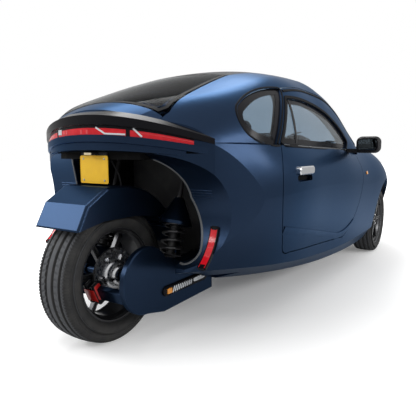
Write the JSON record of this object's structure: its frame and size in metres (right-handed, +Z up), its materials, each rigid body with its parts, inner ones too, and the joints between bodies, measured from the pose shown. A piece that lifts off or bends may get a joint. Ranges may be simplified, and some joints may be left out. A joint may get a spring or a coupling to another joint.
{
  "type": "three-wheeled city car",
  "caption": "Small closed city car with a steered front axle and one driven rear wheel on a swingarm; its doors, hatch and front lid open.",
  "frame": {"origin": "on the road, under the middle of the car's length and width", "axes": "+X forward, +Y to the car's left, +Z up"},
  "size_m": [3.3799, 1.66, 1.318],
  "materials": {
    "body_paint": "satin metallic blue paint",
    "roof_gloss": "dark gloss roof panel",
    "glass": "tinted window glass",
    "tyre": "road tyre rubber",
    "dark_alloy": "dark alloy with machined spoke faces",
    "black_plastic": "moulded black plastic",
    "gloss_black": "gloss black lamp housing",
    "red_lens": "red lamp lens",
    "amber_lens": "amber and clear lamp lens",
    "clear_lens": "clear headlamp cover",
    "plate_yellow": "blank yellow plate",
    "red_metal": "red brake caliper",
    "steel": "steel",
    "chrome": "chrome",
    "chassis_black": "black painted steel",
    "battery_case": "plain battery case",
    "trim_fabric": "dark seat cloth"
  },
  "bodies": {
    "car_body": {"body_sides": "body_paint", "front_wings": "body_paint", "cowl": "black_plastic", "front_bumper": "body_paint", "headlamps": "clear_lens", "front_grille": "black_plastic", "roof_panel": "roof_gloss", "windscreen": "glass", "tail_spoiler": "gloss_black", "tail_lamps": "red_lens", "tail_lamp_housing": "gloss_black", "rear_bumper": "body_paint", "quarter_windows": "glass", "swingarm": "body_paint", "rear_caliper": "red_metal", "rear_mudguard": "body_paint", "indicator_pods": "amber_lens", "rear_shocks": "steel", "shock_shrouds": "body_paint", "floor_pan": "body_paint", "bulkheads": "chassis_black", "rear_liner": "black_plastic", "number_plate": "plate_yellow", "plate_carrier": "black_plastic", "battery_pack": "battery_case", "seats": "trim_fabric", "dashboard": "black_plastic", "steering_wheel": "black_plastic", "front_frame": "chassis_black", "wheel_housings": "black_plastic"},
    "front_right_steer": {"knuckle_right": "steel"},
    "front_left_steer": {"knuckle_left": "steel"},
    "front_right_wheel": {"tyre_front_right": "tyre", "wheel_front_right": "dark_alloy"},
    "front_left_wheel": {"tyre_front_left": "tyre", "wheel_front_left": "dark_alloy"},
    "rear_wheel": {"tyre_rear": "tyre", "wheel_rear": "dark_alloy"},
    "steering_rack": {"tie_rods": "steel"},
    "right_door": {"door_right": "body_paint", "door_glass_right": "glass", "door_handle_right": "chrome", "door_mirror_right": "black_plastic"},
    "left_door": {"door_left": "body_paint", "door_glass_left": "glass", "door_handle_left": "chrome", "door_mirror_left": "black_plastic"},
    "tailgate": {"hatch_panel": "body_paint", "rear_glass": "glass"},
    "front_lid": {"hood": "body_paint"}
  },
  "joints": [
    {"name": "front_right_steering", "type": "hinge", "parent": "car_body", "child": "front_right_steer", "pos_m": [1.09, -0.505, 0.2183], "axis": [0, 0.1896, 0.9819], "range_deg": [-30, 30]},
    {"name": "front_left_steering", "type": "hinge", "parent": "car_body", "child": "front_left_steer", "pos_m": [1.09, 0.505, 0.2183], "axis": [0, -0.1896, 0.9819], "range_deg": [-30, 30]},
    {"name": "steering_rack_slide", "type": "slide", "parent": "car_body", "child": "steering_rack", "axis": [0, 1, 0], "range_m": [-0.058, 0.058]},
    {"name": "front_right_wheel_spin", "type": "hinge", "parent": "front_right_steer", "child": "front_right_wheel", "pos_m": [1.09, -0.5675, 0.268], "axis": [0, 1, 0], "continuous": true},
    {"name": "front_left_wheel_spin", "type": "hinge", "parent": "front_left_steer", "child": "front_left_wheel", "pos_m": [1.09, 0.5675, 0.268], "axis": [0, 1, 0], "continuous": true},
    {"name": "rear_wheel_spin", "type": "hinge", "parent": "car_body", "child": "rear_wheel", "pos_m": [-1.39, 0, 0.3], "axis": [0, 1, 0], "continuous": true},
    {"name": "right_door_hinge", "type": "hinge", "parent": "car_body", "child": "right_door", "pos_m": [0.376, -0.697, 0.62], "axis": [0, 0, 1], "range_deg": [0, 65]},
    {"name": "left_door_hinge", "type": "hinge", "parent": "car_body", "child": "left_door", "pos_m": [0.376, 0.697, 0.62], "axis": [0, 0, -1], "range_deg": [0, 65]},
    {"name": "tailgate_hinge", "type": "hinge", "parent": "car_body", "child": "tailgate", "pos_m": [-0.8, 0, 1.238], "axis": [0, 1, 0], "range_deg": [0, 68]},
    {"name": "front_lid_hinge", "type": "hinge", "parent": "car_body", "child": "front_lid", "pos_m": [0.733, 0, 0.912], "axis": [0, -1, 0], "range_deg": [0, 45]}
  ],
  "couplings": [
    {"joint": "front_left_steering", "follows": "front_right_steering", "ratio": 1},
    {"joint": "steering_rack_slide", "follows": "front_right_steering", "m_per_rad": -0.109}
  ]
}
